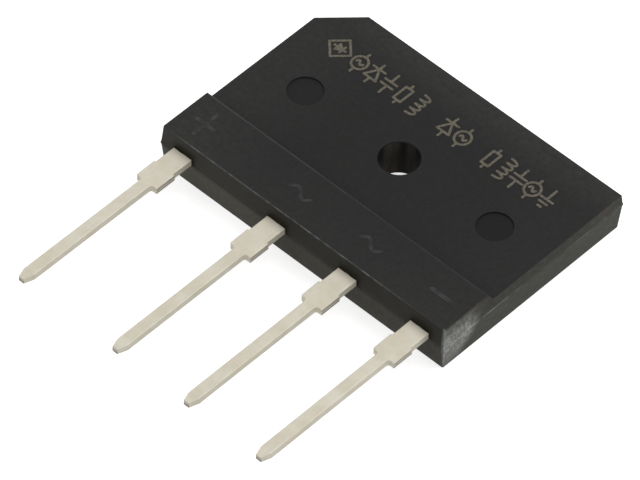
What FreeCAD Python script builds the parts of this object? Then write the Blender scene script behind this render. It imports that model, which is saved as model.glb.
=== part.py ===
import FreeCAD, Part
import math
import os

# A flat bridge rectifier with four leads in a row along one long side. A stepped epoxy
# moulding with a screw hole seals four diode dice, the stamped frames that carry them
# and the clips that join them. Millimetres. The origin is the centre of the screw hole
# on the back face, +Z points out of the marked face and the leads point along -Y.

# Moulding
body_length = 30.0  # along X, over the parting line
body_width = 20.3  # along Y, over the parting line
main_height = 3.6  # back face to the marked face
band_height = 4.5  # back face to the top of the band over the leads
band_width = 5.05  # lead side to the band's rear top edge
step_run = 0.58  # how far the band's rear face leans out towards its foot
corner_cut = 3.1  # 45 degree cut that tells the plus end of the far side
hole_offset = 0.9  # screw hole past the middle of the body's width, away from the leads
hole_diameter = 3.4
parting_height = 2.62  # where the two halves of the mould meet
draft_angle = 4.6  # of the sides, in degrees, both ways from the parting line
bead_proud = 0.04  # thin line of flash left where the mould halves meet
bead_height = 0.07
corner_radius = 0.12  # of the upright edges
edge_radius = 0.09  # of the rims, the step and its foot
hole_rim = 0.07

# Round ejector recesses in the marked face
recess_spacing = 20.0  # centre to centre, either side of the hole
recess_diameter = 3.0
recess_depth = 0.12

# Leads, from the moulding to the tip
plus_x = -12.5
first_ac_pitch = 10.0
second_ac_pitch = 7.5
minus_pitch = 7.5
frame_thickness = 0.6
lead_height = 2.62  # back face to the underside of the leads
lead_length = 17.5  # from the lead side to the tips
neck_width = 1.92
neck_length = 2.0
shoulder_width = 2.2
shoulder_end = 4.0  # where the narrow part begins, from the lead side
pin_width = 1.06
tip_width = 0.52
tip_thickness = 0.5
tip_length = 0.9
shoulder_chamfer = 0.1
inner_fillet = 0.22
rolled_edge = 0.09  # soft upper edge that the punch leaves
lead_seat = 0.9  # how far the neck runs into the moulding before it widens

# Frames inside the moulding
pad_height = 0.6  # back face to the underside of the pads
pad_front = 3.65  # lead side to the front edge of the pads
riser_width = 2.6
bend_angle = 50.0  # of the drop from the leads to the pads, in degrees
bend_radius = 0.3
bend_start = 1.45  # lead side to the first bend
side_cover = 1.2  # moulding between a frame and the outside
hole_cover = 1.1  # moulding between a frame and the screw hole
frame_gap = 0.9

# Dice, solder and clips
die_size = 3.0
die_top_size = 2.7
die_thickness = 0.3
solder_thickness = 0.08
die_solder_size = 2.8
top_solder_size = 1.8
clip_thickness = 0.3
clip_width = 2.0
clip_bend_radius = 0.15
clip_foot = 1.6
foot_inset = 0.2  # clip foot to the edge of the pad it stands on
foot_solder_length = 1.1

tolerance = 1e-3  # how near to a place an edge or a corner counts as lying on it

half_length = body_length / 2
lead_side = -body_width / 2 - hole_offset
far_side = lead_side + body_width
hole_keepout = hole_diameter / 2 + hole_cover
first_ac_x = plus_x + first_ac_pitch
second_ac_x = first_ac_x + second_ac_pitch
minus_x = second_ac_x + minus_pitch
pad_front_y = lead_side + pad_front
pad_back_y = hole_keepout - frame_gap
pad_top = pad_height + frame_thickness
die_base = pad_top + solder_thickness
die_top = die_base + die_thickness
clip_base = die_top + solder_thickness
foot_base = pad_top + solder_thickness
left_pad_edge = plus_x + riser_width / 2 + frame_gap
right_pad_edge = minus_x - riser_width / 2 - frame_gap
left_die_x = (left_pad_edge - hole_keepout) / 2
right_die_x = (right_pad_edge + hole_keepout) / 2
strip_back_y = far_side - side_cover
far_die_y = (hole_keepout + strip_back_y) / 2
near_die_y = (pad_front_y - hole_keepout) / 2


def vector(x, y, z=0.0):
    return FreeCAD.Vector(x, y, z)


def closed_wire(points):
    return Part.makePolygon(points + points[:1])


def near(value, wanted):
    return abs(value - wanted) < tolerance


def plate(corners, base, thickness):
    """A flat plate from the corners of its plan, where two corners may fall together."""
    points = [
        vector(*corner, base) for place, corner in enumerate(corners)
        if math.dist(corner, corners[place - 1]) > tolerance
    ]
    return Part.Face(closed_wire(points)).extrude(vector(0, 0, thickness))


def joined(shapes):
    return shapes[0].multiFuse(shapes[1:]).removeSplitter().Solids[0]


def inset_at(height):
    """How far the drafted side stands in from the parting bead at a height."""
    return bead_proud + math.tan(math.radians(draft_angle)) * abs(height - parting_height)


def plan_corners(inset, height):
    """The corners of the moulding's plan with its cut corner, shrunk evenly by the inset."""
    left = inset - half_length
    right = half_length - inset
    front = lead_side + inset
    back = far_side - inset
    cut = corner_cut - inset * (2 - math.sqrt(2))
    corners = [(left, front), (right, front), (right, back), (left + cut, back), (left, back - cut)]
    return [vector(x, y, height) for x, y in corners]


def drafted_block(low, low_inset, high, high_inset):
    """A sharp-cornered block between two heights, with plane leaning sides."""
    lower = plan_corners(low_inset, low)
    upper = plan_corners(high_inset, high)
    faces = [Part.Face(closed_wire(lower[::-1])), Part.Face(closed_wire(upper))]
    for place, corner in enumerate(lower):
        side = [lower[place - 1], corner, upper[place], upper[place - 1]]
        faces.append(Part.Face(closed_wire(side)))
    return Part.makeSolid(Part.makeShell(faces))


def rounded_corners(block, radius=corner_radius):
    """The block with a radius on each upright edge that starts at its base."""
    base = block.BoundBox.ZMin
    upright = [
        edge for edge in block.Edges
        if near(edge.BoundBox.ZMin, base) and edge.BoundBox.ZLength > bead_height / 2
    ]
    return block.makeFillet(radius, upright).Solids[0]


def step_cutter():
    """What is taken off above the marked face, behind the band."""
    rise = band_height - main_height
    top_y = lead_side + band_width
    foot_y = top_y + step_run
    over_y = top_y - step_run  # the leaning face carried on by one more rise
    beyond = far_side + step_run
    profile = closed_wire([
        vector(-body_length, foot_y, main_height),
        vector(-body_length, over_y, band_height + rise),
        vector(-body_length, beyond, band_height + rise),
        vector(-body_length, beyond, main_height),
    ])
    return Part.Face(profile).extrude(vector(2 * body_length, 0, 0))


def level_face(shape, height):
    """The upward flat face at a height."""
    for face in shape.Faces:
        box = face.BoundBox
        if near(box.ZLength, 0) and near(box.ZMin, height):
            return face


def upper_half():
    """The half with the marked face and the raised band."""
    block = drafted_block(parting_height, inset_at(parting_height), band_height, inset_at(band_height))
    block = rounded_corners(block.cut(step_cutter()).Solids[0])
    soft = list(level_face(block, band_height).Edges) + list(level_face(block, main_height).Edges)
    for edge in block.Edges:
        box = edge.BoundBox
        if near(box.ZMin, main_height) and near(box.ZMax, band_height):
            soft.append(edge)
    return block.makeFillet(edge_radius, soft)


def lower_half():
    """The half with the flat back face."""
    block = drafted_block(0, inset_at(0), parting_height, inset_at(parting_height))
    return rounded_corners(block)


def parting_bead():
    base = parting_height - bead_height / 2
    block = drafted_block(base, 0, base + bead_height, 0)
    return rounded_corners(block, corner_radius + bead_proud)


def moulding(inner_pieces):
    """The epoxy body, with a cavity that fits every piece it seals."""
    body = joined([lower_half(), upper_half(), parting_bead()])
    body = body.cut(Part.makeCylinder(hole_diameter / 2, band_height, vector(0, 0, 0)))
    rim = [
        edge for edge in body.Edges
        if near(edge.BoundBox.ZMin, main_height)
        and near(edge.BoundBox.XLength, hole_diameter)
        and near(edge.BoundBox.YLength, hole_diameter)
    ]
    body = body.makeFillet(hole_rim, rim)
    for side in (-1, 1):
        centre = vector(side * recess_spacing / 2, 0, main_height - recess_depth)
        body = body.cut(Part.makeCylinder(recess_diameter / 2, band_height, centre))
    return body.cut(inner_pieces).Solids[0]


def lead_plan(x):
    """The stamped outline of one lead, from its seat in the moulding to its tip."""
    seat_y = lead_side + lead_seat
    neck_y = lead_side - neck_length
    shoulder_y = lead_side - shoulder_end
    tip_y = lead_side - lead_length
    taper_y = tip_y + tip_length
    right = [
        (neck_width / 2, seat_y),
        (neck_width / 2, neck_y),
        (shoulder_width / 2, neck_y),
        (shoulder_width / 2, shoulder_y),
        (pin_width / 2, shoulder_y),
        (pin_width / 2, taper_y),
        (tip_width / 2, tip_y),
    ]
    left = [(-across, y) for across, y in reversed(right)]
    square = left.index((-shoulder_width / 2, shoulder_y))
    left[square:square + 1] = [
        (shoulder_chamfer - shoulder_width / 2, shoulder_y),
        (-shoulder_width / 2, shoulder_y + shoulder_chamfer),
    ]
    return [(x + across, y) for across, y in right + left]


def lead_side_view():
    """The lead seen along X: flat, with its tip bevelled above and below."""
    tip_y = lead_side - lead_length
    taper_y = tip_y + tip_length
    bevel = (frame_thickness - tip_thickness) / 2
    top = lead_height + frame_thickness
    points = [
        (lead_side + lead_seat, lead_height),
        (lead_side + lead_seat, top),
        (taper_y, top),
        (tip_y, top - bevel),
        (tip_y, lead_height + bevel),
        (taper_y, lead_height),
    ]
    wire = closed_wire([vector(-body_length, y, z) for y, z in points])
    return Part.Face(wire).extrude(vector(2 * body_length, 0, 0))


def lead_blank(x):
    """The flat part of a lead, with rounded inner corners and soft upper edges."""
    blank = plate(lead_plan(x), lead_height, frame_thickness)
    shoulder_y = lead_side - shoulder_end
    inner = [
        edge for edge in blank.Edges
        if edge.BoundBox.ZLength > frame_thickness / 2
        and near(edge.BoundBox.YMin, shoulder_y)
        and near(abs(edge.BoundBox.XMin - x), pin_width / 2)
    ]
    blank = blank.makeFillet(inner_fillet, inner)
    blank = blank.common(lead_side_view())
    taper_y = lead_side - lead_length + tip_length
    top = lead_height + frame_thickness
    soft = [
        edge for edge in blank.Edges
        if near(edge.BoundBox.ZMin, top)
        and edge.BoundBox.YMax > taper_y + tolerance
        and edge.BoundBox.YMin < lead_side
    ]
    return blank.makeFillet(rolled_edge, soft)


def bent_strip(bend_at, end_at, drop, thickness, width, radius):
    """A strip along +X from the origin that drops once, by two bends of the same angle."""
    slope = math.radians(bend_angle)
    run = drop / math.tan(slope)
    miter = thickness * math.tan(slope / 2)
    upper_bend = bend_at + miter
    foot = bend_at + run
    profile = [
        (0, 0),
        (bend_at, 0),
        (foot, -drop),
        (end_at, -drop),
        (end_at, thickness - drop),
        (foot + miter, thickness - drop),
        (upper_bend, thickness),
        (0, thickness),
    ]
    wire = closed_wire([vector(x, -width / 2, z) for x, z in profile])
    strip = Part.Face(wire).extrude(vector(0, width, 0))

    def across(x, z):
        return [
            edge for edge in strip.Edges
            if edge.BoundBox.YLength > width / 2
            and near(edge.BoundBox.XMin, x)
            and near(edge.BoundBox.ZMin, z)
        ]

    inside = across(bend_at, 0) + across(foot + miter, thickness - drop)
    strip = strip.makeFillet(radius, inside)
    outside = across(upper_bend, thickness) + across(foot, -drop)
    return strip.makeFillet(radius + thickness, outside)


def placed(shape, x, y, z, turn=0.0):
    """A copy turned about Z and moved to its place."""
    moved = shape.copy()
    moved.Placement = FreeCAD.Placement(vector(x, y, z), FreeCAD.Rotation(vector(0, 0, 1), turn))
    return moved


def frame_with_lead(x, pad_corners):
    """One stamped frame: the lead, its drop inside the moulding, and its pad."""
    start = lead_side + lead_seat
    drop = bent_strip(
        bend_start - lead_seat,
        pad_front_y - start,
        lead_height - pad_height,
        frame_thickness,
        riser_width,
        bend_radius,
    )
    return joined([
        lead_blank(x),
        placed(drop, x, start, lead_height, 90),
        plate(pad_corners, pad_height, frame_thickness),
    ])


def plus_frame():
    """Runs up the plus end and along the far side, and carries two dice."""
    outer = side_cover - half_length
    inner = plus_x + riser_width / 2
    cut = corner_cut - side_cover * (2 - math.sqrt(2))
    corners = [
        (plus_x - riser_width / 2, pad_front_y),
        (inner, pad_front_y),
        (inner, hole_keepout),
        (-outer, hole_keepout),
        (-outer, strip_back_y),
        (outer + cut, strip_back_y),
        (outer, strip_back_y - cut),
        (outer, hole_keepout),
        (plus_x - riser_width / 2, hole_keepout),
    ]
    return frame_with_lead(plus_x, corners)


def first_ac_frame():
    """Left of the hole; its lead stands nearer the hole than its pad."""
    riser_edge = first_ac_x + riser_width / 2
    corners = [
        (left_pad_edge, pad_front_y),
        (riser_edge, pad_front_y),
        (riser_edge, -hole_keepout),
        (-hole_keepout, -hole_keepout),
        (-hole_keepout, pad_back_y),
        (left_pad_edge, pad_back_y),
    ]
    return frame_with_lead(first_ac_x, corners)


def second_ac_frame():
    """Right of the hole, straight above its lead."""
    corners = [
        (hole_keepout, pad_front_y),
        (right_pad_edge, pad_front_y),
        (right_pad_edge, pad_back_y),
        (hole_keepout, pad_back_y),
    ]
    return frame_with_lead(second_ac_x, corners)


def minus_frame():
    """A short pad at the minus end that carries no die."""
    left = minus_x - riser_width / 2
    right = minus_x + riser_width / 2
    corners = [(left, pad_front_y), (right, pad_front_y), (right, pad_back_y), (left, pad_back_y)]
    return frame_with_lead(minus_x, corners)


def layer(x, y, base, length, width, thickness):
    corner = vector(x - length / 2, y - width / 2, base)
    return Part.makeBox(length, width, thickness, corner)


def die(x, y):
    """A silicon die whose sides slope in towards its top contact."""
    rings = []
    for size, height in ((die_size, die_base), (die_top_size, die_top)):
        half = size / 2
        corners = [(x - half, y - half), (x + half, y - half), (x + half, y + half), (x - half, y + half)]
        rings.append(closed_wire([vector(across, along, height) for across, along in corners]))
    return Part.makeLoft(rings, True, True)


def clip(x, y, length, turn):
    """A copper clip that starts over a die and ends in a foot on another frame."""
    drop = clip_base - foot_base
    run = drop / math.tan(math.radians(bend_angle))
    strip = bent_strip(length - clip_foot - run, length, drop, clip_thickness, clip_width, clip_bend_radius)
    return placed(strip, x, y, clip_base, turn)


def inner_nodes():
    """Every sealed piece and every lead frame, by name."""
    nodes = {
        "plus_lead_frame": plus_frame(),
        "first_ac_lead_frame": first_ac_frame(),
        "second_ac_lead_frame": second_ac_frame(),
        "minus_lead_frame": minus_frame(),
    }
    dice = {
        "plus_first": (left_die_x, far_die_y),
        "plus_second": (right_die_x, far_die_y),
        "minus_first": (left_die_x, near_die_y),
        "minus_second": (right_die_x, near_die_y),
    }
    for name, (x, y) in dice.items():
        nodes[name + "_die"] = die(x, y)
        nodes[name + "_die_solder"] = layer(x, y, pad_top, die_solder_size, die_solder_size, solder_thickness)
        nodes[name + "_clip_solder"] = layer(x, y, die_top, top_solder_size, top_solder_size, solder_thickness)

    # A clip from each die on the plus frame to the alternating current frame in front of it
    foot_y = pad_back_y - foot_inset - clip_foot
    start_y = far_die_y + clip_width / 2
    solder_y = foot_y + foot_inset + foot_solder_length / 2
    for name, x in (("first_ac", left_die_x), ("second_ac", right_die_x)):
        nodes[name + "_clip"] = clip(x, start_y, start_y - foot_y, -90)
        nodes[name + "_foot_solder"] = layer(
            x, solder_y, pad_top, top_solder_size, foot_solder_length, solder_thickness
        )

    # One long clip from the two remaining dice to the minus frame
    start_x = left_die_x - clip_width / 2
    foot_x = minus_x + riser_width / 2 - foot_inset
    solder_x = foot_x - foot_inset - foot_solder_length / 2
    nodes["minus_clip"] = clip(start_x, near_die_y, foot_x - start_x, 0)
    nodes["minus_foot_solder"] = layer(
        solder_x, near_die_y, pad_top, foot_solder_length, top_solder_size, solder_thickness
    )
    return nodes


def build():
    nodes = inner_nodes()
    nodes["moulding"] = moulding(list(nodes.values()))
    os.makedirs("parts", exist_ok=True)
    for name, shape in nodes.items():
        shape.exportStep("parts/" + name + ".step")
        print(name, len(shape.Solids), shape.isValid(), round(shape.Volume, 3))


build()
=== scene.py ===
import bpy
import bmesh
import math
import random
from functools import reduce
from mathutils import Matrix, Vector


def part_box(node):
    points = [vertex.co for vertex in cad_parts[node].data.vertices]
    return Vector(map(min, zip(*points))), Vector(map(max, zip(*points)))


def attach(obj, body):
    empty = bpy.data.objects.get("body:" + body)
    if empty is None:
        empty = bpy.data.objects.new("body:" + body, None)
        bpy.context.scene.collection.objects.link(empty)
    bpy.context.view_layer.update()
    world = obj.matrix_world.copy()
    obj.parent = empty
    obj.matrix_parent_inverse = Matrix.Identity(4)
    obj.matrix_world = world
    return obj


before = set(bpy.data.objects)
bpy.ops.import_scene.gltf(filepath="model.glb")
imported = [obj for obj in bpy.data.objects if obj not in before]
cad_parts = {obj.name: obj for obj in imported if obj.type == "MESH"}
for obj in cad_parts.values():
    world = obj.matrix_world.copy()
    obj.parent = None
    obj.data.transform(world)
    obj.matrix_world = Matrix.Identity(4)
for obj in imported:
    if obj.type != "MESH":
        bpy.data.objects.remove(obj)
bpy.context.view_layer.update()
print("stage: frame loaded")

# limits of the frame's nodes, in millimetres
mm = 0.001
mouldLow, mouldHigh = (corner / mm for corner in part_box("moulding"))
minusLow, minusHigh = (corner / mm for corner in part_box("minus_lead_frame"))
leadSide = mouldLow.y
minusEnd = mouldHigh.x
bandTop = mouldHigh.z
leadTip = minusLow.y
leadTop = minusHigh.z

# sizes that the looks share, in millimetres
shape = {
    "mainTop": 3.6,
    "partingHeight": 2.62,
    "beadProud": 0.04,
    "sideLean": 0.0805,  # tangent of the sides' draft
    "bandRear": -6.0,
    "bandFront": -10.86,
    "holeRadius": 1.7,
    "recessX": 10.0,
    "recessRadius": 1.5,
    "leads": {
        "plus_lead_frame": -12.5,
        "first_ac_lead_frame": -2.5,
        "second_ac_lead_frame": 5.0,
        "minus_lead_frame": 12.5,
    },
    "leadThickness": 0.6,
    "neckWidth": 1.92,
    "shoulderWidth": 2.2,
    "legWidth": 1.06,
}
leadLow = leadTop - shape["leadThickness"]


# Shader maths: a Value wraps a socket, and Python operators on it add Math nodes
class Value:
    def __init__(self, tree, socket):
        self.tree = tree
        self.socket = socket

    # another output of the same node
    def output(self, key):
        return Value(self.tree, self.socket.node.outputs[key])

    def maths(self, operation, *terms):
        return self.tree.node("ShaderNodeMath", {"operation": operation}, terms)

    def __add__(self, other):
        return self.maths("ADD", self, other)

    def __sub__(self, other):
        return self.maths("SUBTRACT", self, other)

    def __rsub__(self, other):
        return self.maths("SUBTRACT", other, self)

    def __mul__(self, other):
        return self.maths("MULTIPLY", self, other)

    def __abs__(self):
        return self.maths("ABSOLUTE", self)

    __radd__ = __add__
    __rmul__ = __mul__

    def least(self, other):
        return self.maths("MINIMUM", self, other)

    def most(self, other):
        return self.maths("MAXIMUM", self, other)

    def root(self):
        return self.maths("SQRT", self)

    # 0 below start, 1 above end, smooth between; start may be the larger one
    def smooth(self, start, end):
        settings = {"interpolation_type": "SMOOTHSTEP"}
        return self.tree.node("ShaderNodeMapRange", settings, {0: self, 1: start, 2: end})


# The nodes of a material or a world, all made by node()
class Tree:
    def __init__(self, owner):
        owner.use_nodes = True
        self.tree = owner.node_tree
        self.tree.nodes.clear()

    def node(self, kind, settings=None, inputs=(), output=0):
        made = self.tree.nodes.new(kind)
        for key, value in (settings or {}).items():
            setattr(made, key, value)
        pairs = inputs.items() if isinstance(inputs, dict) else enumerate(inputs)
        for key, value in pairs:
            if isinstance(value, Value):
                self.tree.links.new(value.socket, made.inputs[key])
            elif isinstance(value, tuple) and made.inputs[key].type == "RGBA":
                made.inputs[key].default_value = (*value, 1)
            else:
                made.inputs[key].default_value = value
        return Value(self, made.outputs[output]) if made.outputs else None

    # 1 for the rays that look at the background, straight or by way of metal or glass
    def looking(self):
        ray = self.node("ShaderNodeLightPath")
        straight = ray.output("Is Camera Ray")
        return straight.most(ray.output("Is Glossy Ray")).most(ray.output("Is Transmission Ray"))


# A surface under construction, which knows each point's place in millimetres
class Shade(Tree):
    def __init__(self, name):
        self.material = bpy.data.materials.new(name)
        super().__init__(self.material)
        place = self.node("ShaderNodeTexCoord", output="Object")
        self.point = self.node("ShaderNodeVectorMath", {"operation": "SCALE"}, {0: place, 3: 1 / mm})
        parts = self.node("ShaderNodeSeparateXYZ", {}, [self.point])
        self.x, self.y, self.z = (parts.output(axis) for axis in range(3))

    def mix(self, mask, first, second):
        return self.node("ShaderNodeMix", {"data_type": "RGBA"}, {0: mask, 6: first, 7: second}, 2)

    # each layer is a mask and the colour that it lays over those before it
    def layered(self, colour, *layers):
        for mask, over in layers:
            colour = self.mix(mask, colour, over)
        return colour

    # grain per millimetre, stretched along the axes
    def noise(self, scale, detail=3.0, rough=0.55, stretch=(1, 1, 1)):
        vector = self.node("ShaderNodeVectorMath", {"operation": "MULTIPLY"}, {0: self.point, 1: stretch})
        inputs = {"Vector": vector, "Scale": scale, "Detail": detail, "Roughness": rough}
        return self.node("ShaderNodeTexNoise", {}, inputs)

    # 1 on the centre of a line across an axis, 0 beyond its half width
    def line(self, along, centre, half):
        return abs(along - centre).smooth(half, half * 0.3)

    # 1 inside an upright cylinder, with a soft edge
    def disc(self, x, y, radius, edge):
        across = self.x - x
        along = self.y - y
        return (across * across + along * along).root().smooth(radius + edge, radius - edge)

    def bump(self, height, strength, distance):
        inputs = {"Height": height, "Strength": strength, "Distance": distance * mm}
        return self.node("ShaderNodeBump", {}, inputs)

    def finish(self, colour, roughness, normal, metallic=0.0, specular=0.5):
        inputs = {
            "Base Color": colour,
            "Roughness": roughness,
            "Normal": normal,
            "Metallic": metallic,
            "Specular IOR Level": specular,
        }
        surface = self.node("ShaderNodeBsdfPrincipled", {}, inputs)
        self.node("ShaderNodeOutputMaterial", {}, {"Surface": surface})
        return self.material


def scaled(colour, factor):
    return tuple(channel * factor for channel in colour)


# Moulded epoxy: its colours and shades of them, how far each covers those before it,
# its finish, and its noises as grain per millimetre, detail and roughness
epoxy = {
    "colour": (0.0158, 0.0156, 0.0152),
    "cool": (0.0150, 0.0156, 0.0172),
    # pale: painted light on the rims of the marked face and the band
    "pale": (0.0355, 0.0352, 0.0334),
    "speck": (0.085, 0.085, 0.082),
    "deep": (0.0050, 0.0048, 0.0036),
    "blotchShade": 1.5,
    "mottleShade": 0.62,
    "coolCover": 0.5,
    "blotchCover": 0.4,
    "mottleCover": 0.42,
    "speckCover": 0.32,
    "pitCover": 0.42,
    "pitPlusEnd": 0.5,
    "stepCover": 0.6,
    "roughness": 0.58,
    "blotchRougher": 0.16,
    "dustRougher": 0.25,
    "specular": 0.12,
    "bump": 0.5,
    "bumpDepth": 0.02,
    "broad": (0.16, 4),
    "blotch": (0.9, 5, 0.6),
    "mottle": (2.2, 5, 0.68),
    "pits": (5, 4, 0.75),
    "grain": (9, 3, 0.7),
    "fine": (26, 2, 0.6),
}


# How much paler the rims of the marked face and the band are painted: painted light, brighter towards
# these edges
rims = {"plusEnd": 0.6, "minusEnd": 0.22, "far": 1.0, "band": 0.17, "bandFront": 0.25}


def paintedLightRims(s):
    ends = (s.x.smooth(-5, -15) * rims["plusEnd"]).most(s.x.smooth(6, 15) * rims["minusEnd"])
    band = s.y.smooth(-5.4, -6.2) * rims["band"] + s.y.smooth(-6, -12) * rims["bandFront"]
    return (ends + band).most(s.y.smooth(4.5, 9.3) * rims["far"]).least(1.0)


# Rubbed edges with a painted highlight: the whole length, the patches on it, and the stretch that is
# rubbed and highlighted most
edges = {
    "colour": (0.195, 0.205, 0.205),
    "patches": (1.1, 5, 0.75),
    "front": 0.08,
    "frontMiddle": 0.06,
    "frontPatches": 0.6,
    "rear": 0.03,
    "rearPatches": 0.08,
    "rearPlusEnd": 0.07,
    "corner": 0.4,
    "cornerPatches": 0.4,
}


# The band's two upper edges, and the upright corner by the minus lead: wear and a painted highlight on
# each
def wornAndLitEdges(s):
    patchy = s.noise(*edges["patches"]).smooth(0.38, 0.68)
    middle = s.x.smooth(-14.5, -11) * s.x.smooth(13, 7)
    high = s.z.smooth(bandTop - 0.12, bandTop - 0.06)
    front = high * s.y.smooth(shape["bandFront"] + 0.075, shape["bandFront"] + 0.045)
    rear = high * s.y.smooth(shape["bandRear"] - 0.17, shape["bandRear"] - 0.07)
    corner = s.x.smooth(minusEnd - 0.36, minusEnd - 0.28) * s.y.smooth(leadSide + 0.36, leadSide + 0.28)
    plusEnd = s.x.smooth(4, -10)
    frontWearAndLight = edges["front"] + (edges["frontMiddle"] + edges["frontPatches"] * patchy) * middle
    rearWearAndLight = edges["rear"] + edges["rearPatches"] * patchy + edges["rearPlusEnd"] * plusEnd
    cornerWearAndLight = edges["corner"] + edges["cornerPatches"] * patchy
    return (front * frontWearAndLight).most(rear * rearWearAndLight).most(corner * cornerWearAndLight).least(1.0)


# 1 on the minus end's face and on the face that the leads leave, by their height and draft
def outerFaces(s):
    setBack = abs(s.z - shape["partingHeight"]) * shape["sideLean"] + shape["beadProud"]
    belowRim = s.z.smooth(bandTop - 0.02, bandTop - 0.08)
    endFace = (minusEnd - s.x - setBack).smooth(0.07, 0.03)
    leadFace = (s.y - leadSide - setBack).smooth(0.07, 0.03) * belowRim
    return endFace, leadFace


# The crease just above the parting line, where paler colour is painted against the shade that the bead
# casts
def partingCrease(s):
    return s.line(s.z, shape["partingHeight"] + 0.08, 0.1)


# The lead side: painted darker above the parting line and paler below it, as painted light, and painted
# shade over the roots
leadWall = {
    "colour": (0.0375, 0.0358, 0.0300),
    "skirt": (0.0930, 0.0905, 0.0740),
    "foot": (0.1000, 0.0960, 0.0820),
    # root: painted shade over the lead roots
    "root": (0.0100, 0.0086, 0.0040),
    "awayShade": 0.6,
    "skirtCover": 0.66,
    "skirtMottle": 0.34,
    "skirtAway": 0.4,
    "footCover": 0.4,
    "creaseCover": 0.4,
    "rootCover": 0.8,
    "rootShift": 0.1,
}


def leadWallLayers(s, leadFace, mottle):
    w = leadWall
    parting = shape["partingHeight"]
    away = s.x.smooth(-13, 0)
    # painted light: paler below the parting line, as if lit from the floor
    lower = s.z.smooth(parting + 0.12, parting - 0.75)
    # painted light: paler at the foot and along the crease, against the shade there
    foot = (s.z.smooth(1.3, 0.0) * w["footCover"]).most(partingCrease(s) * w["creaseCover"])
    # painted shade over the lead roots, below the rim
    overLeads = [abs(s.x - x - w["rootShift"]).smooth(1.5, 0.8) for x in shape["leads"].values()]
    rootShade = reduce(Value.most, overLeads) * leadFace * s.z.smooth(4.1, 3.5) * s.z.smooth(2.4, 2.7)
    skirt = w["skirtCover"] + w["skirtMottle"] * mottle - w["skirtAway"] * away
    return (
        (leadFace, s.mix(away, w["colour"], scaled(w["colour"], w["awayShade"]))),
        (leadFace * lower * skirt, w["skirt"]),
        (leadFace * foot, w["foot"]),
        (rootShade * w["rootCover"], w["root"]),
    )


# The minus end's face: its colour, painted darker above the parting line and paler below it as painted
# light, darker under the rim, and painted paler along the crease against its shade; then the dust, the
# seam and the stain on it
endWall = {
    "colour": (0.0602, 0.0598, 0.0482),
    "cover": 0.78,
    "upperShade": 0.74,
    "lowerShade": 1.04,
    "rimShade": 0.35,
    "creaseShade": 2.2,
    "creaseCover": 0.4,
    "dust": (0.400, 0.410, 0.385),
    "dustLeast": 0.24,
    "dustScuffs": 0.9,
    "dustStreaks": 0.06,
    "dustFarEnd": 0.022,
    "dustFoot": 0.025,
    "seamNear": 0.4,
    "seamGap": 0.22,
    "seamFar": 0.17,
    "stain": (0.060, 0.045, 0.036),
    "stainCover": 0.7,
    "stainFar": 0.8,
}


def endWallLayers(s, endFace):
    w = endWall
    parting = shape["partingHeight"]
    lower = s.z.smooth(parting + 0.1, parting - 0.3)
    rim = s.z.smooth(bandTop - 0.3, bandTop - 0.08)
    # painted light: darker above the parting line and paler below it; darker under the rim
    tone = s.mix(lower, scaled(w["colour"], w["upperShade"]), scaled(w["colour"], w["lowerShade"]))
    tone = s.mix(rim, tone, scaled(w["colour"], w["rimShade"]))
    return (
        (endFace * w["cover"], tone),
        # painted light along the crease, against the shade there
        (endFace * partingCrease(s) * w["creaseCover"], scaled(w["colour"], w["creaseShade"])),
    )


# Dust and scuffs, thickest in the corner nearest the minus lead
def endDust(s, endFace):
    w = endWall
    ragged = s.noise(0.8, 4, 0.6) * 1.6 - 0.8
    slanted = s.z.smooth(2.5, -0.4) * 1.7
    nearCorner = (s.y + ragged + slanted).smooth(-6.8, -8.4)
    scuff = s.noise(2.6, 6, 0.74, (1, 1.2, 0.9)).smooth(0.32, 0.7)
    streaks = s.noise(2.2, 5, 0.7, (1, 0.75, 1.5)).smooth(0.4, 0.7)
    rising = 0.4 + 0.6 * s.z.smooth(-0.4, 2.6)
    topFade = (0.3 + 0.7 * s.z.smooth(bandTop + 0.1, 2.4)) * s.z.smooth(bandTop + 0.02, bandTop - 0.3)
    thick = nearCorner * (w["dustLeast"] + w["dustScuffs"] * scuff) * rising * topFade
    thin = s.y.smooth(1, 8) * w["dustFarEnd"] + s.z.smooth(0.9, 0.2) * w["dustFoot"]
    return endFace * (thick + streaks * w["dustStreaks"] + thin)


# A pale broken line along the parting line, in the near part of the face and a little in the far part
def endSeam(s, endFace):
    bead = s.line(s.z, shape["partingHeight"], 0.09) * s.noise(1.1, 3).smooth(0.36, 0.6)
    gap = s.line(s.y, -6.7, 0.9) * endWall["seamGap"]
    near = s.y.smooth(-1.0, -5.0) * (endWall["seamNear"] - gap)
    far = s.y.smooth(1, 5) * endWall["seamFar"]
    return endFace * bead * (near + far)


# Two brownish patches under the rim, one near each end of the face
def endStain(s, endFace):
    patches = s.line(s.y, -7.3, 1.3).most(s.line(s.y, 7.4, 1.1) * endWall["stainFar"])
    return endFace * patches * s.z.smooth(2.2, 3.4) * s.noise(0.9, 4).smooth(0.35, 0.6)


# The band's slanted rear face, which lies in its own shade
def stepFace(s):
    upright = s.z.smooth(bandTop - 0.03, bandTop - 0.12) * s.z.smooth(3, 3.4)
    return s.line(s.y, shape["bandRear"] + 0.32, 0.34) * upright


# Smooth darker floors of the two recesses; the mask ends above the flat back
recess = {"colour": (0.0050, 0.0052, 0.0056), "plusFloor": 0.8, "cover": 0.85, "smoother": 0.12}


def recessFloors(s):
    below = s.z.smooth(shape["mainTop"] - 0.05, shape["mainTop"] - 0.09) * s.z.smooth(1, 2)
    plusFloor = s.disc(-shape["recessX"], 0, shape["recessRadius"], 0.05) * recess["plusFloor"]
    minusFloor = s.disc(shape["recessX"], 0, shape["recessRadius"], 0.05)
    return below * plusFloor.most(minusFloor)


# The wall of the screw hole: painted shade, with two upright lines of painted highlight, each at a place
# across
bore = {
    "highlight": (0.0720, 0.0650, 0.0510),
    "darkShade": 0.4,
    "across": (0.73, 0.68),
    "broadLine": (-0.55, 0.85),
    "thinLine": (0.9, 0.5),
}


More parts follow.
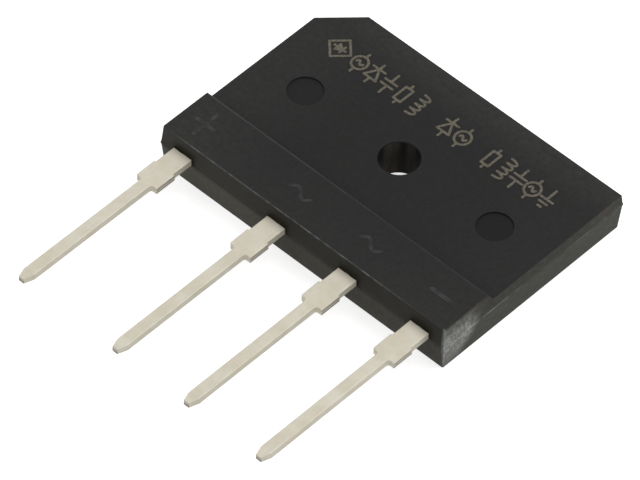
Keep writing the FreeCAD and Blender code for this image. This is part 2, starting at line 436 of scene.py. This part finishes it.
def boreLayer(s):
    wall = s.disc(0, 0, shape["holeRadius"] + 0.1, 0.04) * s.z.smooth(0.05, 0.15)
    wall = wall * s.z.smooth(shape["mainTop"] - 0.03, shape["mainTop"] - 0.2)
    streaks = s.noise(1.6, 4, 0.6, (1, 1, 0.2)).smooth(0.35, 0.65)
    across = s.x * bore["across"][0] + s.y * bore["across"][1]
    lines = s.line(across, *bore["broadLine"]) + s.line(across, *bore["thinLine"]) * 0.5
    dark = scaled(epoxy["deep"], bore["darkShade"])
    return wall, s.mix(lines * (0.6 + 0.4 * streaks), dark, bore["highlight"])


# Soft blotches, which the raised signs share with the moulding
def blotchLayer(blotch):
    return blotch.smooth(0.35, 0.75) * epoxy["blotchCover"], scaled(epoxy["colour"], epoxy["blotchShade"])


# The whole moulding is one material: fine eroded grain, rubbed edges with a painted highlight, painted
# light and shade on its sides, and a dusty minus end
def epoxyMaterial():
    s = Shade("mouldedEpoxy")
    broad = s.noise(*epoxy["broad"])
    blotch = s.noise(*epoxy["blotch"])
    grain = s.noise(*epoxy["grain"])
    fine = s.noise(*epoxy["fine"])
    pits = s.noise(*epoxy["pits"]).smooth(0.6, 0.74)
    mottle = s.noise(*epoxy["mottle"]).smooth(0.3, 0.72)
    endFace, leadFace = outerFaces(s)
    dust = endDust(s, endFace)
    floors = recessFloors(s)
    pitCover = epoxy["pitCover"] + epoxy["pitPlusEnd"] * s.x.smooth(-7, -14)
    colour = s.layered(
        epoxy["colour"],
        (broad.smooth(0.3, 0.7) * epoxy["coolCover"], epoxy["cool"]),
        # painted light: paler rims
        (paintedLightRims(s), epoxy["pale"]),
        blotchLayer(blotch),
        (mottle * epoxy["mottleCover"], scaled(epoxy["colour"], epoxy["mottleShade"])),
        (fine.smooth(0.56, 0.74) * epoxy["speckCover"], epoxy["speck"]),
        (pits * pitCover, epoxy["deep"]),
        (stepFace(s) * epoxy["stepCover"], epoxy["deep"]),
        *leadWallLayers(s, leadFace, mottle),
        *endWallLayers(s, endFace),
        (floors * recess["cover"], recess["colour"]),
        boreLayer(s),
        (endStain(s, endFace) * endWall["stainCover"], endWall["stain"]),
        # rubbed edges with a painted highlight
        (wornAndLitEdges(s), edges["colour"]),
        ((dust + endSeam(s, endFace)).least(1.0), endWall["dust"]),
    )
    roughness = epoxy["roughness"] + epoxy["blotchRougher"] * blotch
    roughness = roughness + epoxy["dustRougher"] * dust - recess["smoother"] * floors
    height = grain * 0.8 + fine * 0.5 + blotch * 0.5 - pits * 0.8
    normal = s.bump(height, epoxy["bump"], epoxy["bumpDepth"])
    return s.finish(colour, roughness.least(1.0), normal, specular=epoxy["specular"])


# Tin: its colours, how far each covers those before it, its finish, and the bared copper
tin = {
    "colour": (0.581, 0.538, 0.428),
    "pale": (0.651, 0.621, 0.520),
    "rosy": (0.629, 0.559, 0.454),
    "root": (0.787, 0.730, 0.612),
    "grey": (0.404, 0.399, 0.343),
    "copper": (0.155, 0.103, 0.080),
    "cut": (0.376, 0.352, 0.310),
    "rosyCover": 0.6,
    "rootCover": 0.7,
    "rolledCover": 0.3,
    "speckCover": 0.3,
    "flankCover": 0.1,
    "tipCover": 0.5,
    "cutCover": 0.45,
    "roughness": 0.46,
    "metallic": 0.25,
    "tieBar": (-15.07, -13.02),  # where the bar joined the leads, front and rear
    "tieCopper": 0.85,
    "tipCopper": 0.8,
}


# Cut faces of the tie bar between the leads, the cropped tips, and the copper bared on both
def tinCuts(s, lane, side):
    front, rear = tin["tieBar"]
    shoulder = shape["shoulderWidth"] / 2
    zone = s.y.smooth(front, front + 0.07) * s.y.smooth(rear, rear - 0.08)
    cutFace = zone * lane.smooth(shoulder - 0.03, shoulder - 0.005) * side
    lines = s.line(s.z, leadTop - 0.2, 0.07).most(s.line(s.z, leadLow + 0.09, 0.1))
    ragged = s.noise(2.2, 4, 0.7, (1, 0.5, 1)).smooth(0.22, 0.45)
    tip = s.y.smooth(leadTip + 0.05, leadTip + 0.01)
    tipEdge = tip * s.z.smooth(leadLow + 0.5, leadLow + 0.2) * s.noise(6, 3).smooth(0.3, 0.5)
    copper = (cutFace * lines * ragged * tin["tieCopper"]).most(tipEdge * tin["tipCopper"])
    return cutFace, tip, copper


# Matt tin on copper, with bare metal where the lead was cut from its strip
def tinMaterial(name, centre):
    s = Shade(name)
    cloud = s.noise(0.8, 5, 0.6)
    blush = s.noise(0.55, 3, 0.5)
    rolled = s.noise(5, 4, 0.65, (1, 0.12, 1))
    speck = s.noise(11, 3, 0.7)
    lane = abs(s.x - centre)
    leg = shape["legWidth"] / 2
    side = s.z.smooth(leadTop - 0.05, leadTop - 0.12)
    flank = lane.smooth(leg - 0.09, leg - 0.01) * side
    cutFace, tip, copper = tinCuts(s, lane, side)
    colour = s.layered(
        tin["colour"],
        (cloud.smooth(0.3, 0.72), tin["pale"]),
        (blush.smooth(0.45, 0.75) * tin["rosyCover"], tin["rosy"]),
        # painted light: paler towards the moulding, against the shade that falls there
        (s.y.smooth(leadSide - 1.5, leadSide - 0.1) * tin["rootCover"], tin["root"]),
        (rolled.smooth(0.52, 0.8) * tin["rolledCover"], tin["grey"]),
        (speck.smooth(0.66, 0.82) * tin["speckCover"], tin["grey"]),
        (flank * tin["flankCover"], tin["grey"]),
        ((tip * tin["tipCover"]).most(cutFace * tin["cutCover"]), tin["cut"]),
        (copper, tin["copper"]),
    )
    roughness = tin["roughness"] + 0.2 * speck - 0.08 * cloud
    height = rolled * 0.6 + speck * 0.3 + cloud * 0.6
    return s.finish(colour, roughness, s.bump(height, 0.3, 0.02), metallic=tin["metallic"])


# Finishes of the sealed pieces, which show only when the moulding is taken away
sealed = {
    "solder": {
        "colour": (0.60, 0.60, 0.61),
        "dark": (0.38, 0.38, 0.40),
        "roughness": 0.45,
        "metallic": 0.6,
    },
    "copper": {
        "colour": (0.75, 0.40, 0.26),
        "dark": (0.50, 0.25, 0.15),
        "roughness": 0.35,
        "metallic": 0.85,
    },
    "silicon": {
        "colour": (0.11, 0.11, 0.13),
        "dark": (0.05, 0.05, 0.06),
        "roughness": 0.25,
    },
}


def plainMetal(name, look):
    s = Shade(name)
    cloud = s.noise(1.5, 4)
    brushed = s.noise(9, 3, 0.6, (1, 0.15, 1))
    tone = s.mix(cloud.smooth(0.3, 0.7), look["dark"], look["colour"])
    tone = s.mix(brushed.smooth(0.5, 0.8) * 0.3, tone, look["dark"])
    roughness = look["roughness"] + 0.15 * brushed
    return s.finish(tone, roughness, s.bump(brushed + cloud, 0.25, 0.02), look["metallic"])


def siliconMaterial(look):
    s = Shade("siliconDie")
    edge = s.noise(4, 3)
    tone = s.mix(edge.smooth(0.4, 0.7), look["dark"], look["colour"])
    return s.finish(tone, look["roughness"] + 0.1 * edge, s.bump(edge, 0.1, 0.01))


markPaint = {"colour": (0.142, 0.124, 0.086), "thin": (0.060, 0.054, 0.042), "roughness": 0.7}


# Burnt-in marking: khaki, with the dark plastic showing through in dots
def markingMaterial():
    s = Shade("burntMarking")
    dots = s.noise(7, 3, 0.7)
    patch = s.noise(1.2, 3)
    tone = s.mix(dots.smooth(0.38, 0.6), markPaint["thin"], markPaint["colour"])
    tone = s.mix(patch.smooth(0.5, 0.75) * 0.35, tone, markPaint["thin"])
    return s.finish(tone, markPaint["roughness"] + 0.1 * dots, s.bump(dots, 0.3, 0.02))


# The raised signs: paler than the band, and palest in the spots that handling has rubbed
relief = {
    "raised": 0.11,
    "crownLess": 0.06,
    "rubbed": 0.12,
    "spotEdge": 0.35,
    "spots": (  # x, y and radius
        (-12.56, -7.3, 0.6),
        (-12.6, -9.7, 0.6),
        (-13.3, -8.5, 0.5),
        (-11.9, -8.5, 0.6),
        (-1.75, -8.75, 0.5),
        (-3.1, -8.2, 0.3),
        (5.6, -8.8, 0.5),
        (4.3, -8.2, 0.3),
        (12.0, -8.48, 1.1),
    ),
}


def reliefMaterial():
    s = Shade("reliefEpoxy")
    grain = s.noise(*epoxy["grain"])
    blotch = s.noise(*epoxy["blotch"])
    raised = s.z.smooth(bandTop + 0.004, bandTop + 0.02)
    crown = s.z.smooth(bandTop + 0.020, bandTop + 0.027)
    spots = [s.disc(*spot, relief["spotEdge"]) for spot in relief["spots"]]
    rubbed = reduce(Value.most, spots) * s.noise(2.2, 3, 0.6).smooth(0.3, 0.6)
    cover = relief["raised"] - relief["crownLess"] * crown + relief["rubbed"] * rubbed
    colour = s.layered(epoxy["colour"], blotchLayer(blotch), (raised * cover, edges["colour"]))
    roughness = epoxy["roughness"] + epoxy["blotchRougher"] * blotch
    return s.finish(colour, roughness, s.bump(grain, 0.3, 0.02), specular=epoxy["specular"])


# Dark flash epoxy, in the painted shade colour of the lead roots
def flashAndShadeMaterial():
    s = Shade("flashAndShadeEpoxy")
    grain = s.noise(6, 4, 0.7)
    tone = s.mix(grain.smooth(0.35, 0.75), leadWall["root"], leadWall["colour"])
    return s.finish(tone, 0.6 + 0.2 * grain, s.bump(grain, 0.4, 0.03), specular=epoxy["specular"])


def paint(piece, material):
    piece.data.materials.clear()
    piece.data.materials.append(material)


def dressFrame():
    moulded = epoxyMaterial()
    silicon = siliconMaterial(sealed["silicon"])
    solder = plainMetal("softSolder", sealed["solder"])
    copper = plainMetal("stampedCopper", sealed["copper"])
    for name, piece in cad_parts.items():
        if name == "moulding":
            paint(piece, moulded)
        elif name in shape["leads"]:
            paint(piece, tinMaterial(name + "Tin", shape["leads"][name]))
        elif name.endswith("solder"):
            paint(piece, solder)
        elif name.endswith("die"):
            paint(piece, silicon)
        else:
            paint(piece, copper)


def makeObject(name, bm, material):
    mesh = bpy.data.meshes.new(name)
    bm.to_mesh(mesh)
    bm.free()
    mesh.materials.append(material)
    made = bpy.data.objects.new(name, mesh)
    bpy.context.scene.collection.objects.link(made)
    return made


def addPiece(name, bm, material):
    bmesh.ops.recalc_face_normals(bm, faces=bm.faces)
    piece = makeObject(name, bm, material)
    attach(piece, "root")


# Side walls between neighbouring loops of the same number of corners
def bridgeLoops(bm, loops):
    for first, second in zip(loops, loops[1:]):
        for place in range(len(first)):
            bm.faces.new((first[place - 1], first[place], second[place], second[place - 1]))


# A closed mound from stacked rings of (x, y) outlines, each at its own height;
# a ribbon's ring runs up one side and back down the other, and is capped across
def stackRings(bm, rings, heights, ribbon=False):
    loops = []
    for ring, height in zip(rings, heights):
        loops.append([bm.verts.new((x * mm, y * mm, height * mm)) for x, y in ring])
    bridgeLoops(bm, loops)
    for loop in (loops[0], loops[-1]):
        if ribbon:
            for place in range(len(loop) // 2 - 1):
                bm.faces.new((loop[place], loop[place + 1], loop[-2 - place], loop[-1 - place]))
        else:
            bm.faces.new(loop)


# The outline of a pen stroke of that half width along a path, with round ends;
# the tips keep a small share of the width, so that no face collapses
def strokeOutline(path, half, capSteps=4, tipShare=0.05):
    points = [Vector(p) for p in path]
    stations = []
    for place, point in enumerate(points):
        before = points[max(place - 1, 0)]
        after = points[min(place + 1, len(points) - 1)]
        stations.append((point, (after - before).normalized(), half))
    first, last = stations[0], stations[-1]
    for step in range(1, capSteps + 1):
        turn = math.pi / 2 * step / capSteps
        beyond = half * math.sin(turn)
        width = half * max(math.cos(turn), tipShare)
        stations.insert(0, (first[0] - first[1] * beyond, first[1], width))
        stations.append((last[0] + last[1] * beyond, last[1], width))
    right = []
    left = []
    for point, heading, width in stations:
        across = Vector((heading.y, -heading.x)) * width
        right.append(point + across)
        left.append(point - across)
    return [(p.x, p.y) for p in right + left[::-1]]


# The outline of a plus sign with arms of those reaches
def crossOutline(centre, armX, armY, half):
    x, y = centre
    quarter = [(half, armY), (half, half), (armX, half)]
    points = []
    for signX, signY, order in ((1, 1, 1), (1, -1, -1), (-1, -1, 1), (-1, 1, -1)):
        for across, along in quarter[::order]:
            points.append((x + signX * across, y + signY * along))
    return points


# One full wave, as a path for strokeOutline
def wavePath(centre, length, height, steps=16):
    path = []
    for step in range(steps + 1):
        part = step / steps
        rise = math.sin(part * 2 * math.pi) * height / 2
        path.append((centre[0] + (part - 0.5) * length, centre[1] + rise))
    return path


def arcPath(centre, radiusX, radiusY, start, turn, steps):
    path = []
    for step in range(steps + 1):
        angle = math.radians(start + turn * step / steps)
        path.append((centre[0] + radiusX * math.cos(angle), centre[1] + radiusY * math.sin(angle)))
    return path


# Polarity signs that the mould leaves on the band, one beside each lead
polarity = {
    "plusAt": (-12.56, -8.5),
    "plusArms": (1.02, 1.42),
    "plusHalf": 0.15,
    "wavesAt": ((-2.45, -8.47), (4.96, -8.49)),
    "waveSize": (2.2, 0.8),
    "waveHalf": 0.12,
    "minusAt": (12.4, -8.48),
    "minusLength": 2.45,
    "minusHalf": 0.17,
    "height": 0.03,
    "slope": 0.05,
    "rings": ((-1, 1.6), (0, 1), (0.75, 0), (1, -0.3)),  # shares of the height and of the slope
}


def polaritySigns(material):
    p = polarity
    heights = [bandTop + rise * p["height"] for rise, spread in p["rings"]]
    spreads = [spread * p["slope"] for rise, spread in p["rings"]]
    armX, armY = p["plusArms"]
    rings = [crossOutline(p["plusAt"], armX + s, armY + s, p["plusHalf"] + s) for s in spreads]
    bm = bmesh.new()
    stackRings(bm, rings, heights)
    addPiece("plus_sign", bm, material)
    x, y = p["minusAt"]
    reach = p["minusLength"] / 2 - p["minusHalf"]
    strokes = {"minus_sign": ([(x - reach, y), (x + reach, y)], p["minusHalf"])}
    for number, centre in enumerate(p["wavesAt"], 1):
        strokes["wave_sign_" + str(number)] = (wavePath(centre, *p["waveSize"]), p["waveHalf"])
    for name, (path, half) in strokes.items():
        bm = bmesh.new()
        stackRings(bm, [strokeOutline(path, half + s) for s in spreads], heights, ribbon=True)
        addPiece(name, bm, material)


# Two wires, from the ends of a cell to a body of that half height
def wires(reach):
    return [(0, -1), (0, -reach)], [(0, reach), (0, 1)]


# A stroke across a cell
def bar(reach, level):
    return [(-reach, level), (reach, level)]


# Strokes of one sign, in a cell that spans -1 to 1 both ways
def signStrokes(sign):
    if sign == "source":
        lower, upper = wires(0.62)
        rim = [arcPath((0, 0), 1.1, 0.62, start, 186, 12) for start in (0, 180)]
        return rim + [wavePath((0, 0), 1.1, 0.34, 8), lower, upper]
    if sign == "diode":
        lower, upper = wires(0.5)
        return [lower, [(-1, -0.5), (1, -0.5), (0, 0.5), (-1, -0.5)], bar(1, 0.5), upper]
    if sign == "store":
        lower, upper = wires(0.22)
        return [lower, bar(1, -0.22), bar(1, 0.22), upper]
    if sign == "resist":
        lower, upper = wires(0.66)
        return [lower, [(-0.6, -0.66), (0.6, -0.66), (0.6, 0.66), (-0.6, 0.66), (-0.6, -0.66)], upper]
    if sign == "coil":
        return [arcPath((-0.4, level), 1.2, 0.25, -90, 180, 8) for level in (-0.75, -0.25, 0.25, 0.75)]
    if sign == "earth":
        return [[(0, 1), (0, 0)], bar(1, 0), bar(0.62, -0.38), bar(0.25, -0.76)]
    rim = [(-1, 0), (0, 1), (1, 0), (0, -1), (-1, 0)]
    arrow = [(-0.22, -0.3), (-0.22, 0.3), (0.2, 0), (-0.22, -0.3)]
    return [rim, bar(0.5, 0), arrow, [(0.22, -0.3), (0.22, 0.3)]]


# The burnt-in row: plain circuit signs in three groups, each in a cell of its own
marking = {
    "at": (-9.0, 5.09),
    "tilt": -0.9,
    "cellWidth": 1.22,
    "cellHeight": 2.3,
    "bridgeSize": 2.3,
    "half": 0.105,
    "lift": 0.006,
    "sunk": 0.01,
    "layers": 7,  # neighbouring strokes lie on layers of their own, so that none share a face
    "layerStep": 0.0008,
    "cells": (
        ("bridge", -11.15),
        ("source", -9.0), ("diode", -7.4), ("store", -5.85), ("resist", -4.3), ("coil", -2.75),
        ("diode", 0.5), ("source", 2.1),
        ("resist", 5.1), ("coil", 6.55), ("store", 8.0), ("source", 9.5), ("earth", 11.0),
    ),
}


# The pen strokes of the whole row: a curve is one stroke, and a straight run is one for each side
def rowStrokes():
    m = marking
    slope = math.tan(math.radians(m["tilt"]))
    for sign, x in m["cells"]:
        size = (m["bridgeSize"],) * 2 if sign == "bridge" else (m["cellWidth"], m["cellHeight"])
        y = m["at"][1] + (x - m["at"][0]) * slope
        for stroke in signStrokes(sign):
            path = [(x + across * size[0] / 2, y + along * size[1] / 2) for across, along in stroke]
            curved = len(path) > 5  # straight strokes have 5 corners at most
            yield from [path] if curved else zip(path, path[1:])


def markingRow(material):
    m = marking
    bm = bmesh.new()
    for number, path in enumerate(rowStrokes(), 1):
        step = m["layerStep"] * (number % m["layers"])
        heights = (shape["mainTop"] - m["sunk"] - step, shape["mainTop"] + m["lift"] + step)
        outline = strokeOutline(path, m["half"], capSteps=3)
        stackRings(bm, [outline, outline], heights, ribbon=True)
    addPiece("marking_row", bm, material)


# Thin ragged flash round each lead where it leaves the moulding; its dark colour also paints the shade at
# the lead roots
flash = {
    "seed": 7,
    "steps": 6,  # on each side of the neck
    "reach": 0.05,
    "reachSpread": (0.4, 1.1),
    "skirt": 0.035,
    "skirtSpread": (0.5, 1.5),
    "outerReach": 0.35,
    "flare": 1.7,
    "sunk": 0.12,
}


# Points round the neck's section, each with its direction outwards
def neckPoints():
    half = shape["neckWidth"] / 2
    thick = shape["leadThickness"] / 2
    middle = (leadLow + leadTop) / 2
    corners = [(-half, leadLow), (-half, leadTop), (half, leadTop), (half, leadLow)]
    for start, end in zip(corners, corners[1:] + corners[:1]):
        for step in range(flash["steps"]):
            part = step / flash["steps"]
            across = start[0] + (end[0] - start[0]) * part
            height = start[1] + (end[1] - start[1]) * part
            yield across, height, Vector((across / half, (height - middle) / thick)).normalized()


def leadFlash(material):
    random.seed(flash["seed"])
    sunk = leadSide + flash["sunk"]
    for name, x in shape["leads"].items():
        hidden, inner, outer, front = [], [], [], []
        for across, height, away in neckPoints():
            skirt = away * flash["skirt"] * random.uniform(*flash["skirtSpread"])
            reach = flash["reach"] * random.uniform(*flash["reachSpread"])
            flare = skirt * flash["flare"]
            hidden.append((x + across, sunk, height))
            inner.append((x + across, leadSide - reach, height))
            outer.append((x + across + skirt.x, leadSide - reach * flash["outerReach"], height + skirt.y))
            front.append((x + across + flare.x, sunk, height + flare.y))
        bm = bmesh.new()
        loops = [[bm.verts.new(Vector(p) * mm) for p in ring] for ring in (hidden, inner, outer, front)]
        bridgeLoops(bm, loops + loops[:1])
        addPiece(name.replace("lead_frame", "root_flash_and_shade"), bm, material)


# Lamps, floor and world, in metres and degrees; the lamps face a target in millimetres
studio = {
    "world": 0.53,  # light on the object; the backdrop itself is white
    "floorColour": 0.72,
    "floorGlow": 0.68,
    "floorReach": 3.0,
    "floorHeight": -0.00002,
    "target": (0, -5, 2),
    "lamps": (
        {"name": "key", "azimuth": 150, "elevation": 62, "distance": 0.8, "size": 0.6, "power": 2.9},
        {"name": "fill", "azimuth": -40, "elevation": 35, "distance": 0.9, "size": 0.7, "power": 0.8},
    ),
}
white = (1.0, 1.0, 1.0)


# A pale floor that keeps the shadow, and glows only towards the rays that look at it
def floorMaterial():
    s = Shade("paleFloor")
    plain = s.node("ShaderNodeBsdfDiffuse", {}, {"Color": scaled(white, studio["floorColour"])})
    glow = s.node("ShaderNodeEmission", {}, {"Color": white, "Strength": studio["floorGlow"]})
    both = s.node("ShaderNodeAddShader", {}, [plain, glow])
    surface = s.node("ShaderNodeMixShader", {}, [s.looking(), plain, both])
    s.node("ShaderNodeOutputMaterial", {}, {"Surface": surface})
    return s.material


def stageFloor():
    reach = studio["floorReach"]
    bm = bmesh.new()
    corners = ((-reach, -reach), (reach, -reach), (reach, reach), (-reach, reach))
    bm.faces.new([bm.verts.new((x, y, studio["floorHeight"])) for x, y in corners])
    floor = makeObject("floor", bm, floorMaterial())


def studioWorld():
    world = bpy.data.worlds.new("studio")
    bpy.context.scene.world = world
    tree = Tree(world)
    sky = tree.node("ShaderNodeBackground", {}, {"Color": white, "Strength": studio["world"]})
    backdrop = tree.node("ShaderNodeBackground", {}, {"Color": white, "Strength": 1.0})
    surface = tree.node("ShaderNodeMixShader", {}, [tree.looking(), sky, backdrop])
    tree.node("ShaderNodeOutputWorld", {}, {"Surface": surface})


# The direction from the object to an azimuth, counted from the lead side, and an elevation
def direction(azimuth, elevation):
    around = math.radians(azimuth)
    up = math.radians(elevation)
    return Vector((math.sin(around) * math.cos(up), -math.cos(around) * math.cos(up), math.sin(up)))


def studioLamps():
    target = Vector(studio["target"]) * mm
    for lamp in studio["lamps"]:
        data = bpy.data.lights.new(lamp["name"], "AREA")
        data.shape = "DISK"
        data.size = lamp["size"]
        data.energy = lamp["power"]
        away = direction(lamp["azimuth"], lamp["elevation"])
        piece = bpy.data.objects.new(lamp["name"], data)
        piece.location = target + away * lamp["distance"]
        piece.rotation_euler = away.to_track_quat("Z", "Y").to_euler()
        bpy.context.scene.collection.objects.link(piece)


# The photograph's view: a long lens from over the minus end's front corner
view = {
    "azimuth": 42.955,
    "elevation": 49.10,
    "roll": 0.943,
    "distance": 528.3,
    "target": (-0.742, -8.006, 0.0),
    "focalPixels": 6877.3,
    "imageWidth": 640,
    "sensor": 36.0,
    "clip": (0.01, 20),  # metres
}


def photoCamera():
    roll = math.radians(view["roll"])
    back = direction(view["azimuth"], view["elevation"])
    right = (-back).cross(Vector((0, 0, 1))).normalized()
    above = right.cross(-back)
    rolledRight = right * math.cos(roll) + above * math.sin(roll)
    rolledUp = above * math.cos(roll) - right * math.sin(roll)
    data = bpy.data.cameras.new("photoCamera")
    data.sensor_width = view["sensor"]
    data.lens = view["focalPixels"] / view["imageWidth"] * view["sensor"]
    data.clip_start, data.clip_end = view["clip"]
    camera = bpy.data.objects.new("photoCamera", data)
    turn = Matrix((rolledRight, rolledUp, back)).transposed()
    place = (Vector(view["target"]) + back * view["distance"]) * mm
    camera.matrix_world = Matrix.Translation(place) @ turn.to_4x4()
    bpy.context.scene.collection.objects.link(camera)
    bpy.context.scene.camera = camera


dressFrame()
print("stage: frame dressed")
polaritySigns(reliefMaterial())
markingRow(markingMaterial())
leadFlash(flashAndShadeMaterial())
print("stage: signs, marking and flash made")
stageFloor()
studioWorld()
studioLamps()
photoCamera()
bpy.context.scene.view_settings.view_transform = "Standard"
print("stage: studio and camera set")
